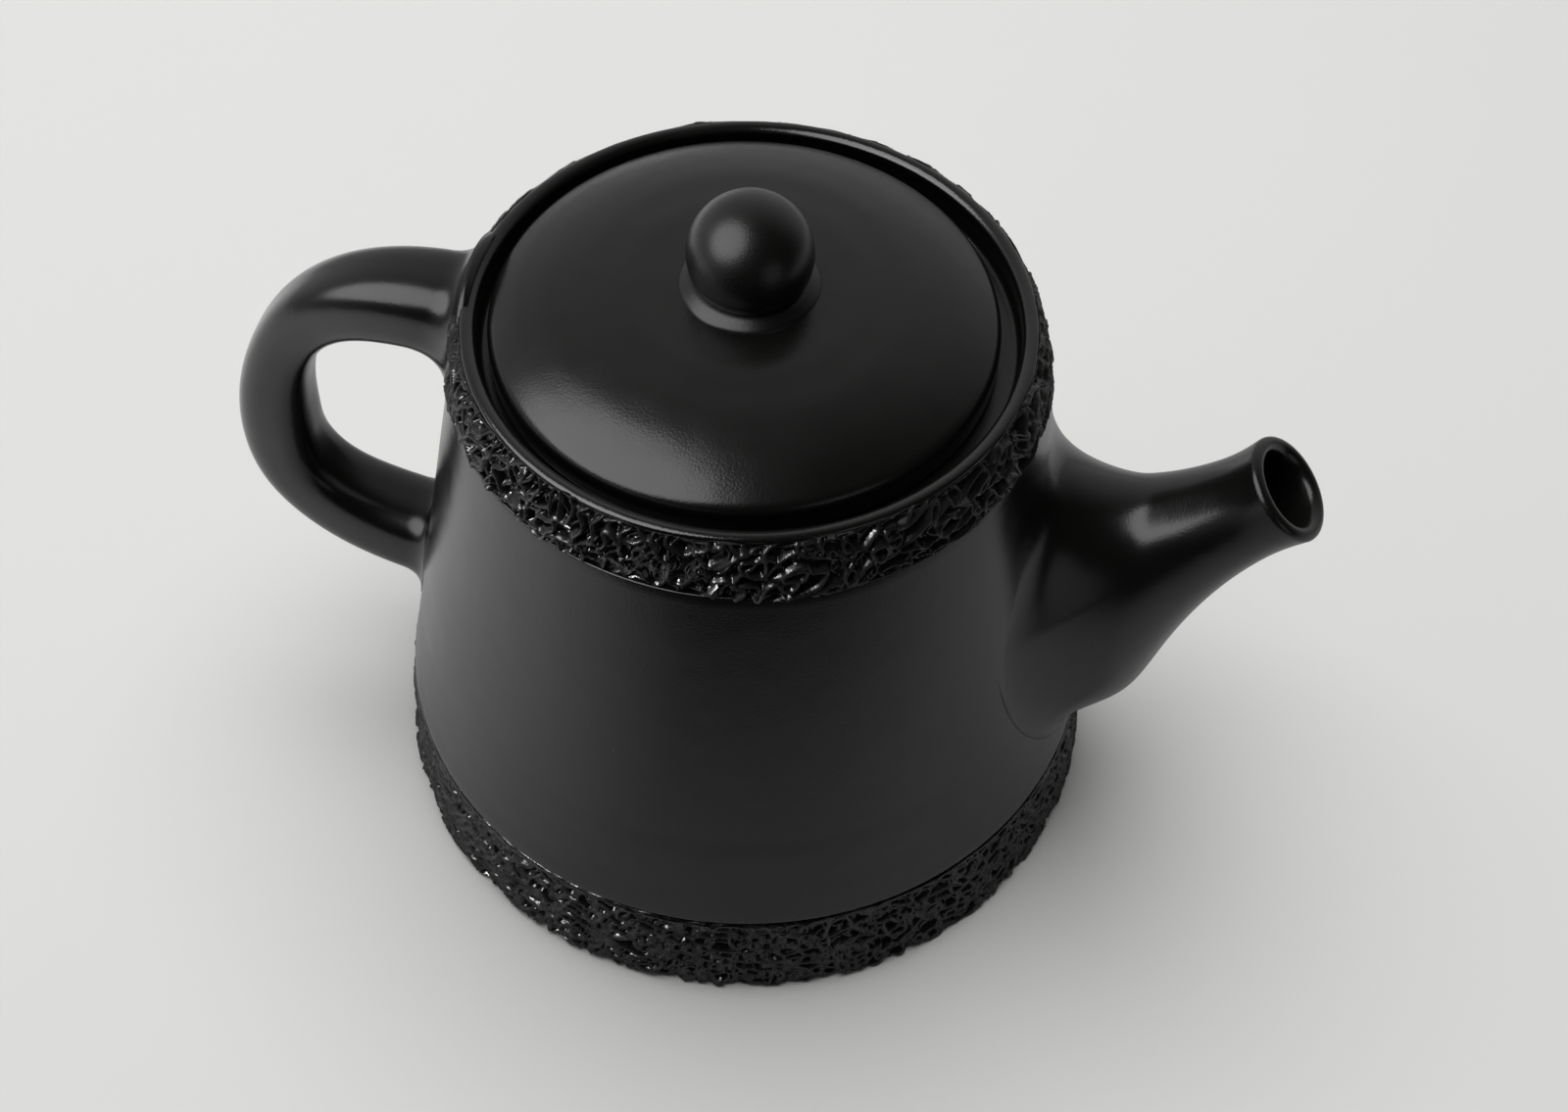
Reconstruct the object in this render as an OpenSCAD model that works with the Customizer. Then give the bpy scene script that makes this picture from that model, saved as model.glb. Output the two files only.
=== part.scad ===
// Thrown stoneware teapot with a lift-off lid, an ear handle and a set-on spout.
// Origin: centre of the foot, on the table. +Z is up and the spout points along +X.

/* [Pot] */
// Diameter of the foot
foot_d = 151; // [120:1:190]
// Outer diameter of the wall at the lip
lip_d = 108.4; // [96:0.2:140]
// Height of the lip above the table
pot_h = 123; // [104:1:160]
// Thickness of the thrown wall
wall_t = 4.6; // [3.6:0.1:6]
// Thickness of the lip, which is rounded over inside the upper band
lip_t = 3; // [2.4:0.1:4.5]
// Thickness of the floor
floor_t = 6; // [4:0.5:10]
// Height of the hollow trimmed out under the floor
foot_hollow = 2; // [1:0.5:4]
// Width of the ring that the pot stands on
foot_ring_w = 9; // [5:0.5:20]
// Radius inside the pot between floor and wall
floor_fillet = 9; // [4:0.5:12]

/* [Gallery] */
// Depth of the lid's seat below the lip
seat_drop = 6.5; // [5:0.1:9]
// Width of the seat
seat_w = 6.6; // [4:0.1:9]
// Thickness of the seat's inner edge
seat_t = 4; // [3:0.1:6]

/* [Bands] */
// Height of the lower band's top edge
low_band_h = 23.2; // [16:0.2:30]
// How much narrower the pot is at the lower band's top than at the foot, on each side
low_band_draft = 2.6; // [0:0.1:4]
// Thickness of the lower band, which is let in flush
low_band_t = 2.4; // [1.6:0.1:3]
// Width of the groove left above the lower band
low_groove = 0.8; // [0.4:0.1:1.5]
// Height of the lower band's bottom edge above the table
low_band_lift = 1; // [0.5:0.1:3]
// Height of the upper band
up_band_h = 12; // [8:0.2:16]
// Distance from the upper band's top edge to the top of the lip
up_band_drop = 0.8; // [0.4:0.1:1.4]
// How far the upper band stands out of the wall
up_band_proud = 1.2; // [0.6:0.1:2.5]
// How far the upper band is keyed into the wall
up_band_key = 0.8; // [0.5:0.1:1.4]

/* [Spout] */
// Height of the spout's centre line where it meets the wall
spout_z = 61.5; // [52:1:66]
// How far the mouth's centre stands out from the spout's foot
spout_out = 38; // [32:0.5:48]
// How far the mouth's centre stands above the spout's foot
spout_up = 37; // [30:0.5:44]
// Slope of the spout where it leaves the wall, in degrees
spout_rise = 38; // [30:1:45]
// Slope of the spout at its mouth, in degrees
mouth_rise = 48; // [40:1:55]
// Outer radius of the spout at its neck
neck_r = 9.8; // [8:0.1:12]
// Half the height of the spout's root, across its own curve
root_a = 31.5; // [28:0.5:36]
// Half the width of the spout's root
root_b = 23; // [18:0.5:28]
// How fast the spout narrows from root to neck
spout_taper = 2.3; // [1.8:0.1:3]
// How much wider the lip of the mouth is than the neck
mouth_flare = 1; // [0:0.1:2]
// Thickness of the spout's wall
spout_t = 3.2; // [2.4:0.1:4]
// Thickness of the clay smoothed over the spout's joint, above
spout_fillet = 5; // [1.5:0.1:6]
// Thickness of the same clay underneath
spout_fillet_low = 1.2; // [0.6:0.1:3]
// How far that clay runs up the spout
spout_fillet_run = 12; // [6:0.5:16]
// Diameter of each strainer hole
strainer_d = 6; // [4:0.5:7]
// Distance between strainer holes
strainer_pitch = 10; // [9:0.5:13]

/* [Handle] */
// Height of the upper arm's centre line below the lip
handle_drop = 10.6; // [8:0.2:14]
// How far the middle of the grip stands out from the wall beside it
grip_out = 35; // [28:0.5:48]
// Height of the grip's outermost point
handle_mid_z = 69.7; // [60:0.5:80]
// Height of the lower arm's centre line at the wall
handle_low_z = 41; // [34:0.5:48]
// Half the grip's thickness, in the plane of the handle
grip_a = 7.5; // [5:0.1:9]
// Half the grip's width, across the plane of the handle
grip_b = 7.9; // [6:0.1:10]
// How level the upper arm leaves the wall, as a share of its span
top_pull = 0.8; // [0.5:0.05:1]
// How far the upper arm arches up after it leaves the wall
top_arch = 3.8; // [0:0.2:6]
// How upright the grip is above its outermost point, as a share of the height above it
top_bend = 0.5; // [0.3:0.02:0.8]
// How level the lower arm leaves the wall, as a share of its span
low_pull = 0.85; // [0.5:0.05:1]
// How far the lower arm rises as it leaves the wall, as a share of the height below the grip
low_lift = 0.22; // [0:0.02:0.5]
// How upright the grip is under its outermost point, as a share of the height below it
low_bend = 0.4; // [0.2:0.05:0.8]
// How much thicker each arm is at the wall than at the grip
arm_swell = 1.5; // [0:0.1:3]
// How much slimmer the upper arm is halfway along
arm_waist = 1.6; // [0:0.1:2]
// Thickness of the clay smoothed over the handle's joints
handle_fillet = 1.6; // [1:0.1:3]
// How far that clay runs along the arms
handle_fillet_run = 8; // [5:0.5:12]

/* [Lid] */
// Gap between the lid's edge and the inside of the lip
lid_gap = 3; // [1:0.1:3.5]
// Gap under the lid where it rests on its seat
rest_gap = 0.2; // [0.1:0.05:0.5]
// How far the lid's dome drops from its crown to its edge
dome_drop = 8; // [4:0.2:12]
// How flat the dome is in the middle: a higher power is flatter
dome_power = 4; // [2:0.1:5]
// Height of the lid's edge above the seat, before it rolls over
lid_edge_h = 4.2; // [2:0.1:6]
// Radius of the roll at the lid's edge
lid_roll = 3.4; // [2:0.1:5]
// Thickness of the lid
lid_t = 4.6; // [3.5:0.1:6]
// Gap round the flange under the lid
flange_gap = 1.4; // [0.3:0.05:1.8]
// Thickness of the flange
flange_t = 3.4; // [2.5:0.1:5]
// How far the flange hangs below the seat
flange_h = 9; // [6:0.5:14]

/* [Knob] */
// Diameter of the ball knob
knob_d = 23.2; // [18:0.2:30]
// Diameter of the collar's foot on the lid
collar_d = 23.2; // [18:0.2:26]
// Height of the collar
collar_h = 1.3; // [1:0.1:3]
// Radius of the flat between ball and collar
knob_seat_r = 9.9; // [5:0.1:10.4]

/* [Hidden] */

clay = "#2c2c2a";
band_clay = "#1d1d1c";
slip = "#262625";

// The wall is one straight cone from the lower band to the middle of the lip.
foot_r = foot_d / 2;
low_top_r = foot_r - low_band_draft;
lip_r = lip_d / 2;
lip_mid_z = pot_h - lip_t / 2;
cone_slope = (low_top_r - lip_r) / (lip_mid_z - low_band_h);
function wall_r(z) = low_top_r - cone_slope * (z - low_band_h);
// The lip stands inside the upper band.
lip_out_r = lip_r - up_band_key;
function foot_cone_r(z) = foot_r - low_band_draft * z / low_band_h;

floor_z = foot_hollow + floor_t;
inside_r = low_top_r - wall_t;
lip_in_r = lip_out_r - lip_t;
seat_z = pot_h - seat_drop;
seat_in_r = lip_in_r - seat_w;
up_band_z1 = pot_h - up_band_drop;
up_band_top = 2 * up_band_proud;
up_band_top_r = lip_out_r + up_band_proud / 2;
up_band_z0 = up_band_z1 - up_band_h;
low_band_z1 = low_band_h - low_groove;

// Points along an arc, from angle a0 to angle a1.
function arc(c, r, a0, a1, n = 12) =
    [for (i = [0:n]) let (a = a0 + (a1 - a0) * i / n) [c.x + r * cos(a), c.y + r * sin(a)]];

// Height at which a 45 degree slope under the seat meets the inside of the wall.
under_seat_z = seat_z - seat_t;
slope_run = (wall_r(under_seat_z) - wall_t - seat_in_r) / (1 - cone_slope);
slope_foot = [seat_in_r + slope_run, under_seat_z - slope_run];

// The foot's outer edge, behind the lower band, and the bevel on both edges of its ring.
foot_out_r = foot_cone_r(low_band_lift) - low_band_t;
foot_bevel = 1;

module vessel_section() {
    polygon(concat(
        // resting ring and the wall behind the lower band
        [[0, foot_hollow], [foot_out_r - foot_ring_w - foot_bevel, foot_hollow]],
        [[foot_out_r - foot_ring_w, 0], [foot_out_r - foot_bevel, 0], [foot_out_r, low_band_lift]],
        [[foot_cone_r(low_band_h) - low_band_t, low_band_h], [low_top_r, low_band_h]],
        // wall, groove for the upper band, and lip
        [[wall_r(up_band_z0), up_band_z0], [wall_r(up_band_z0) - up_band_key, up_band_z0]],
        arc([lip_out_r - lip_t / 2, lip_mid_z], lip_t / 2, 0, 180, 16),
        // gallery, inside of the wall and floor
        [[lip_in_r, seat_z], [seat_in_r, seat_z], [seat_in_r, under_seat_z], slope_foot],
        [[inside_r, low_band_h]],
        arc([inside_r - floor_fillet, floor_z + floor_fillet], floor_fillet, 0, -90),
        [[0, floor_z]]
    ));
}

// Everything inside the pot's outer surface, bands included, and straight up over the lip.
module pot_skin() {
    above = pot_h + 3 * grip_a;
    rotate_extrude($fn = 240)
        polygon([
            [0, low_band_lift], [foot_cone_r(low_band_lift), low_band_lift],
            [low_top_r, low_band_h], [wall_r(up_band_z0), up_band_z0],
            [wall_r(up_band_z0) + up_band_proud, up_band_z0 + up_band_proud],
            [wall_r(up_band_z1) + up_band_proud, up_band_z1 - up_band_top],
            [up_band_top_r, up_band_z1], [up_band_top_r, above], [0, above]
        ]);
}

module vessel() {
    color(clay)
        difference() {
            rotate_extrude($fn = 120) vessel_section();
            for (i = [0:6])
                translate([wall_r(spout_z), 0, spout_z])
                    rotate([60 * i, 0, 0])
                        translate([0, i == 6 ? 0 : strainer_pitch, 0])
                            rotate([0, 90, 0])
                                cylinder(d = strainer_d, h = 6 * wall_t, center = true, $fn = 24);
        }
}

module lower_band() {
    bevel = low_groove;
    color(band_clay)
        rotate_extrude($fn = 120)
            polygon([
                [foot_out_r, low_band_lift], [foot_cone_r(low_band_lift), low_band_lift],
                [foot_cone_r(low_band_z1 - bevel), low_band_z1 - bevel],
                [foot_cone_r(low_band_z1) - bevel, low_band_z1],
                [foot_cone_r(low_band_z1) - low_band_t, low_band_z1]
            ]);
}

module upper_band() {
    color(band_clay)
        rotate_extrude($fn = 120)
            polygon([
                [wall_r(up_band_z0) - up_band_key, up_band_z0], [wall_r(up_band_z0), up_band_z0],
                [wall_r(up_band_z0) + up_band_proud, up_band_z0 + up_band_proud],
                [wall_r(up_band_z1) + up_band_proud, up_band_z1 - up_band_top],
                [up_band_top_r, up_band_z1], [lip_out_r, up_band_z1],
                [lip_out_r, lip_mid_z]
            ]);
}

// A point and a direction on a cubic curve with four control points.
function bez(p, t) =
    pow(1 - t, 3) * p[0] + 3 * t * pow(1 - t, 2) * p[1]
    + 3 * t * t * (1 - t) * p[2] + pow(t, 3) * p[3];
function bez_dir(p, t) =
    let (d = pow(1 - t, 2) * (p[1] - p[0]) + 2 * t * (1 - t) * (p[2] - p[1])
        + t * t * (p[3] - p[2]))
    d / norm(d);

// An oval ring across a path in the XZ plane: c is its centre, d the path's direction.
function oval(c, d, a, b, n) =
    [for (i = [0:n - 1]) let (q = 360 * i / n)
        [c.x - a * sin(q) * d.y, b * cos(q), c.y + a * sin(q) * d.x]];

// A closed solid through a list of rings that all have n points.
module loft(rings, n) {
    m = len(rings);
    polyhedron(
        points = [for (r = rings) each r],
        faces = concat(
            [[for (i = [0:n - 1]) i]],
            [for (k = [0:m - 2], i = [0:n - 1]) let (a = k * n + i, b = k * n + (i + 1) % n)
                each [[a, a + n, b + n], [a, b + n, b]]],
            [[for (i = [n - 1:-1:0]) (m - 1) * n + i]]
        )
    );
}

// Spout: its curve starts on the wall, at t = 0, and ends at the mouth, at t = 1.
sides = 32;
spout_rings = 16;
spout_foot = [wall_r(spout_z), spout_z];
spout_end = spout_foot + [spout_out, spout_up];
spout_pull = norm(spout_end - spout_foot) / 3;
spout_path = [
    spout_foot, spout_foot + spout_pull * [cos(spout_rise), sin(spout_rise)],
    spout_end - spout_pull * [cos(mouth_rise), sin(mouth_rise)], spout_end
];
// How far the curves are carried on inside the pot, as a share of their length.
spout_sunk = 0.55;
arm_sunk = 0.35;

// Half height or half width of the spout at t, from its half size at the root. The mouth flares
// over the last part of the curve, from t = flare_from.
flare_from = 0.8;
function spout_size(root, t) =
    neck_r + (root - neck_r) * pow(max(0, min(1, 1 - t)), spout_taper)
    + mouth_flare * pow(max(0, (t - flare_from) / (1 - flare_from)), 2);

function spout_ring(t, out = 0) =
    oval(bez(spout_path, t), bez_dir(spout_path, t),
        spout_size(root_a, t) + out, spout_size(root_b, t) + out, sides);

// Handle: two curved arms that start on the wall and meet at the outermost point.
arm_rings = 11;
handle_top = [-wall_r(pot_h - handle_drop), pot_h - handle_drop];
handle_low = [-wall_r(handle_low_z), handle_low_z];
handle_mid = [-wall_r(handle_mid_z) - grip_out, handle_mid_z];
top_span = handle_top - handle_mid;
low_span = handle_low - handle_mid;
arm_paths = [
    [handle_top, handle_top + [-top_pull * top_span.x, top_arch],
        handle_mid + [0, top_bend * top_span.y], handle_mid],
    [handle_low, handle_low + [-low_pull * low_span.x, -low_lift * low_span.y],
        handle_mid + [0, low_bend * low_span.y], handle_mid]
];

function arm_extra(arm, t) =
    arm_swell * pow(1 - t, 2) - (arm == 0 ? arm_waist * pow(sin(180 * min(1, max(0, t))), 2) : 0);

function arm_ring(arm, t, out = 0, turn = 1) =
    let (e = arm_extra(arm, t) + out)
    oval(bez(arm_paths[arm], t), turn * bez_dir(arm_paths[arm], t), grip_a + e, grip_b + e, sides);

// Distance of a point from the wall: below zero is inside the pot.
function off_wall(p) = norm([p.x, p.y]) - wall_r(p.z);

// One point of a ring of the spout (part 2) or of a handle's arm (parts 0 and 1).
function part_ring(part, t, out) = part == 2 ? spout_ring(t, out) : arm_ring(part, t, out);
function part_point(part, t, i, out = 0) = part_ring(part, t, out)[i];

// The t at which side i of a part is a distance off the wall, found by halving.
function t_off_wall(part, i, dist, lo, hi, n = 14) =
    n == 0 ? (lo + hi) / 2
    : let (mid = (lo + hi) / 2)
        off_wall(part_point(part, mid, i)) < dist
        ? t_off_wall(part, i, dist, mid, hi, n - 1)
        : t_off_wall(part, i, dist, lo, mid, n - 1);

// Clay smoothed over a joint: thick at the wall, and fading out along the part.
fade = 0.2;
module joint_clay(part, thick, thick_low, run, sunk, steps = 6) {
    loft(
        [for (k = [-1:steps + 1])
            let (dist = run * min(k, steps) / steps)
            [for (i = [0:sides - 1])
                let (t = t_off_wall(part, i, dist, -sunk, 0.9),
                    above = (1 + sin(360 * i / sides)) / 2,
                    here = thick_low + (thick - thick_low) * above)
                part_point(part, t, i, k > steps ? -2 * here : fade + here * pow(1 - dist / run, 2))]],
        sides
    );
}

module spout_body() {
    loft([for (k = [0:spout_rings]) spout_ring((1 + spout_sunk) * k / spout_rings - spout_sunk)], sides);
}

module spout() {
    color(clay)
        difference() {
            spout_body();
            loft(
                [for (k = [0:spout_rings])
                    spout_ring((1.02 + spout_sunk) * k / spout_rings - spout_sunk, -spout_t)],
                sides
            );
            pot_skin();
        }
}

module spout_root() {
    color(slip)
        difference() {
            joint_clay(2, spout_fillet, spout_fillet_low, spout_fillet_run, spout_sunk);
            spout_body();
            pot_skin();
        }
}

module handle_body() {
    loft(
        [
            for (k = [0:arm_rings]) arm_ring(0, (1 + arm_sunk) * k / arm_rings - arm_sunk),
            for (k = [arm_rings - 1:-1:0]) arm_ring(1, (1 + arm_sunk) * k / arm_rings - arm_sunk, 0, -1)
        ],
        sides
    );
}

module handle() {
    color(clay)
        difference() {
            handle_body();
            pot_skin();
        }
}

module handle_root(arm) {
    color(slip)
        difference() {
            joint_clay(arm, handle_fillet, handle_fillet, handle_fillet_run, arm_sunk);
            handle_body();
            pot_skin();
        }
}

// Lid: a dome that steepens towards its edge, where it rolls over and drops to the seat.
collar_r = collar_d / 2;
lid_r = lip_in_r - lid_gap;
lid_base_z = seat_z + rest_gap;
roll_slope = atan(dome_drop * dome_power / lid_r);
roll_c = [lid_r - lid_roll, lid_base_z + lid_edge_h];
roll_start = roll_c + lid_roll * [sin(roll_slope), cos(roll_slope)];
function dome_fall(x) = dome_drop * pow(x / lid_r, dome_power);
dome_top_z = roll_start.y + dome_fall(roll_start.x);
function dome_z(x) = dome_top_z - dome_fall(x);
crown_z = dome_z(collar_r);
flange_r = seat_in_r - flange_gap;
under_r = flange_r - flange_t;
dome_steps = 14;
lid_foot_bevel = 0.8;
lid_foot_r = lid_r - lid_foot_bevel;
// the lid's underside rises inwards from its foot to the hollow of the dome
under_rise = (dome_z(under_r) - lid_t - lid_base_z) / (lid_foot_r - under_r);
function under_z(x) = lid_base_z + under_rise * (lid_foot_r - x);

module lid() {
    color(clay)
        rotate_extrude($fn = 120)
            polygon(concat(
                [[0, crown_z]],
                [for (i = [0:dome_steps])
                    let (x = collar_r + (roll_start.x - collar_r) * i / dome_steps) [x, dome_z(x)]],
                [for (p = arc(roll_c, lid_roll, 90 - roll_slope, 0)) if (p.x > roll_start.x) p],
                [[lid_r, lid_base_z + lid_foot_bevel], [lid_foot_r, lid_base_z]],
                [for (i = [dome_steps:-1:0])
                    let (x = under_r * i / dome_steps) [x, dome_z(x) - lid_t]]
            ));
}

module lid_flange() {
    edge = 1.1;
    color(clay)
        rotate_extrude($fn = 120)
            polygon([
                [under_r, under_z(under_r)], [under_r, lid_base_z - flange_h],
                [flange_r - edge, lid_base_z - flange_h], [flange_r, lid_base_z - flange_h + edge],
                [flange_r, under_z(flange_r)]
            ]);
}

// Knob: the ball is pressed flat where it meets the collar.
collar_z = crown_z + collar_h;
ball_r = knob_d / 2;
ball_z = collar_z + sqrt(pow(ball_r, 2) - pow(knob_seat_r, 2));

collar_lip = 0.4;
module knob_collar() {
    flare = collar_r - knob_seat_r;
    color(slip)
        rotate_extrude($fn = 72)
            polygon(concat(
                [[0, crown_z], [collar_r, crown_z]],
                [for (i = [0:8]) let (u = i / 8)
                    [collar_r - flare * u, crown_z + collar_lip + (collar_h - collar_lip) * u * u]],
                [[0, collar_z]]
            ));
}

module knob() {
    start = -asin(sqrt(1 - pow(knob_seat_r / ball_r, 2)));
    color(clay)
        rotate_extrude($fn = 72)
            polygon(concat([[0, collar_z]], arc([0, ball_z], ball_r, start, 90, 24)));
}

vessel();
lower_band();
upper_band();
spout();
spout_root();
handle();
handle_root(0);  // handle_top_root
handle_root(1);  // handle_low_root
lid();
lid_flange();
knob_collar();
knob();
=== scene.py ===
# Thrown stoneware teapot: satin black glaze, two lava-textured bands, lift-off lid.
import math

import bpy
import numpy as np
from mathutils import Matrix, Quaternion, Vector


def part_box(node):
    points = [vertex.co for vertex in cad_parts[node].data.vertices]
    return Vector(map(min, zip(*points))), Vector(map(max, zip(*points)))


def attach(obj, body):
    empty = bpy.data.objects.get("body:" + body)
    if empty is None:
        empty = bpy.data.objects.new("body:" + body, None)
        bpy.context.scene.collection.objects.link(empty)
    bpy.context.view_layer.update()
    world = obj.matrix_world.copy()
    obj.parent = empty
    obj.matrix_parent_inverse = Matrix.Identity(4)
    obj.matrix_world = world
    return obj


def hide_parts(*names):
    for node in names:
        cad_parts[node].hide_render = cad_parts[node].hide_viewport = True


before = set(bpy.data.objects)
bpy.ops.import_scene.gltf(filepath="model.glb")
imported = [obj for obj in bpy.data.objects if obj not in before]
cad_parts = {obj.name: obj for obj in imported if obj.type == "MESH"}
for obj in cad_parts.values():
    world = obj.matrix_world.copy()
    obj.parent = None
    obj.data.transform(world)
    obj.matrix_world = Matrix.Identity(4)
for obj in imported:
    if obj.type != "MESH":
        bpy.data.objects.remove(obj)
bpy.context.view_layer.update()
print("frame loaded:", len(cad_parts), "nodes")

mm = 0.001    # every shape below is worked out in millimetres


# camera
view = dict(azimuth=10.0, elevation=52.2, roll=1.66, distance=458.5,
            aim=(7.46, 1.32, 50.1), lens=50.0, sensor=36.0)


def placeCamera(v):
    # stands at aim + distance x (sin a cos e, -cos a cos e, sin e) and looks back at aim
    a, e = math.radians(v["azimuth"]), math.radians(v["elevation"])
    back = Vector((math.sin(a) * math.cos(e), -math.cos(a) * math.cos(e), math.sin(e)))
    data = bpy.data.cameras.new("camera")
    data.lens, data.sensor_width = v["lens"], v["sensor"]
    camera = bpy.data.objects.new("camera", data)
    camera.location = (Vector(v["aim"]) + back * v["distance"]) * mm
    camera.rotation_mode = "QUATERNION"
    turn = Quaternion((0, 0, 1), math.radians(v["roll"]))
    camera.rotation_quaternion = (-back).to_track_quat("-Z", "Y") @ turn
    bpy.context.scene.collection.objects.link(camera)
    bpy.context.scene.camera = camera


placeCamera(view)
print("camera placed")


# sizes taken from the frame
def nodeBox(name):
    low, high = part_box(name)
    return np.array(low) / mm, np.array(high) / mm


pot = dict(footRadius=75.5, coneRadius=54.2, lipThick=3.0, wallThick=4.6, floorThick=6.0,
           footHollow=2.0, footRing=9.0, floorFillet=9.0,
           seatDrop=6.5, seatWidth=6.6, seatThick=4.0,
           lowBandTop=23.2, lowBandDraft=2.6, lowBandThick=2.4, lowBandLift=1.0,
           upBandProud=1.2, upBandKey=0.8, bandBed=3.3,
           throwingDepth=0.05, throwingPitch=5.5, wobble=0.10, rowStep=2.2, columns=320)

potTop = nodeBox("vessel")[1][2]
wallFootRadius = pot["footRadius"] - pot["lowBandDraft"]
upBandLow, upBandHigh = nodeBox("upper_band")[0][2], nodeBox("upper_band")[1][2]
lowBandHigh = nodeBox("lower_band")[1][2]
lipMid = potTop - pot["lipThick"] / 2
coneSlope = (wallFootRadius - pot["coneRadius"]) / (lipMid - pot["lowBandTop"])
lipRadius = pot["coneRadius"] - pot["upBandKey"]


def wallRadius(z):
    # straight cone: radius falls by coneSlope for each millimetre of height
    return wallFootRadius - coneSlope * (z - pot["lowBandTop"])


# general tools
def wave(seed, count, *axes):
    # Smooth wander from -1 to 1: the mean of count sines whose frequencies and phases are
    # drawn from a fixed seed, sin(k . x + phase), over the given coordinates.
    rng = np.random.default_rng(seed)
    total = 0.0
    for _ in range(count):
        k = rng.normal(size=len(axes))
        total = total + np.sin(sum(ki * ax for ki, ax in zip(k, axes)) + rng.uniform(0, 6.28))
    return total / math.sqrt(count * 2)


def roundPath(corners, step, arcStep=0.35):
    # Profile (r, z) through corners (r, z, reach): points a + (b - a) t on the straight runs,
    # and a quadratic arc (1-s)^2 a + 2s(1-s) corner + s^2 b that starts reach before each corner.
    pts = [np.array(c[:2], float) for c in corners]
    out = [pts[0][None, :]]
    for i in range(1, len(pts) - 1):
        before, here, after = pts[i - 1], pts[i], pts[i + 1]
        a, b = before - here, after - here
        la, lb = np.linalg.norm(a), np.linalg.norm(b)
        reach = min(corners[i][2], la * 0.49, lb * 0.49)
        p0, p2 = here + a / la * reach, here + b / lb * reach
        last = out[-1][-1]
        n = max(1, int(np.linalg.norm(p0 - last) / step))
        out.append(last + (p0 - last) * (np.arange(1, n + 1) / n)[:, None])
        n = max(3, int(reach * 2 / min(step, arcStep)))
        s = (np.arange(1, n + 1) / n)[:, None]
        out.append((1 - s) ** 2 * p0 + 2 * s * (1 - s) * here + s ** 2 * p2)
    last = out[-1][-1]
    n = max(1, int(np.linalg.norm(pts[-1] - last) / step))
    out.append(last + (pts[-1] - last) * (np.arange(1, n + 1) / n)[:, None])
    return np.concatenate(out)


def revolve(profile, columns):
    # Turns a profile (r, z) about the pot's axis: (r cos u, r sin u, z).
    u = np.arange(columns) * (2 * math.pi / columns)
    r, z = profile[:, 0][:, None], profile[:, 1][:, None]
    return np.stack([r * np.cos(u), r * np.sin(u), z + 0 * u], -1)


def gridObject(name, grid, startPole=None, endPole=None, ringed=False):
    # Mesh from grid[row, column] of points, closed round the columns. Four-sided faces join
    # neighbours, a pole closes an end with a fan, and ringed joins the last row to the first.
    rows, cols = grid.shape[:2]
    points = grid.reshape(-1, 3)
    spans = rows if ringed else rows - 1
    v, u = np.meshgrid(np.arange(spans), np.arange(cols), indexing="ij")
    w, x = (v + 1) % rows, (u + 1) % cols
    quads = np.stack([v * cols + u, v * cols + x, w * cols + x, w * cols + u], -1).reshape(-1, 4)
    fans = []
    c = np.arange(cols)
    d = (c + 1) % cols
    if startPole is not None:
        fans.append(np.stack([np.full(cols, len(points)), d, c], -1))
        points = np.concatenate([points, [startPole]])
    if endPole is not None:
        base = (rows - 1) * cols
        fans.append(np.stack([base + c, base + d, np.full(cols, len(points))], -1))
        points = np.concatenate([points, [endPole]])
    tris = np.concatenate(fans) if fans else np.zeros((0, 3), int)
    corners = np.concatenate([quads.ravel(), tris.ravel()]).astype(np.int32)
    starts = np.concatenate([np.arange(len(quads)) * 4,
                             len(quads) * 4 + np.arange(len(tris)) * 3]).astype(np.int32)
    mesh = bpy.data.meshes.new(name)
    mesh.vertices.add(len(points))
    mesh.vertices.foreach_set("co", (points * mm).astype(np.float32).ravel())
    mesh.loops.add(len(corners))
    mesh.loops.foreach_set("vertex_index", corners)
    mesh.polygons.add(len(starts))
    mesh.polygons.foreach_set("loop_start", starts)
    mesh.update(calc_edges=True)
    mesh.shade_smooth()
    piece = bpy.data.objects.new(name, mesh)
    bpy.context.scene.collection.objects.link(piece)
    return piece


def settle(piece, body, slot, material, *nodes):
    # gives a finished piece its glaze and its body, and hides the frame's nodes that it stands in
    # for
    piece.data.materials.clear()
    piece.data.materials.append(material)
    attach(piece, body)
    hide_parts(*nodes)
    print(piece.name, len(piece.data.polygons), "faces")


# materials
def hexColour(code):
    # sRGB hex to linear: c / 12.92 when small, else ((c + 0.055) / 1.055) ^ 2.4
    c = np.array([int(code[i:i + 2], 16) / 255 for i in (1, 3, 5)])
    c = np.where(c < 0.04045, c / 12.92, ((c + 0.055) / 1.055) ** 2.4)
    return (*c, 1.0)


def addNode(tree, kind, links=None, **settings):
    # settings set a node's own properties; links set its sockets to values or to other outputs
    node = tree.nodes.new(kind)
    for key, value in settings.items():
        setattr(node, key, value)
    for key, value in (links or {}).items():
        socket = node.inputs[key]
        if isinstance(value, bpy.types.NodeSocket):
            tree.links.new(value, socket)
        else:
            socket.default_value = value
    return node


def newMaterial(name):
    material = bpy.data.materials.new(name)
    material.use_nodes = True
    material.node_tree.nodes.clear()
    return material, material.node_tree


satin = dict(colour="#0b0b0a", dust="#10100f", pit="#060606", cloudSize=20.0,
             roughness=0.23, roughnessSpread=0.03, ior=1.5, peelSize=0.45, peelHeight=0.028,
             waveSize=9.0, waveHeight=0.10,
             pinholeSpacing=16.0, pinholeRadius=0.35, pinholeDepth=0.25)


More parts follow.
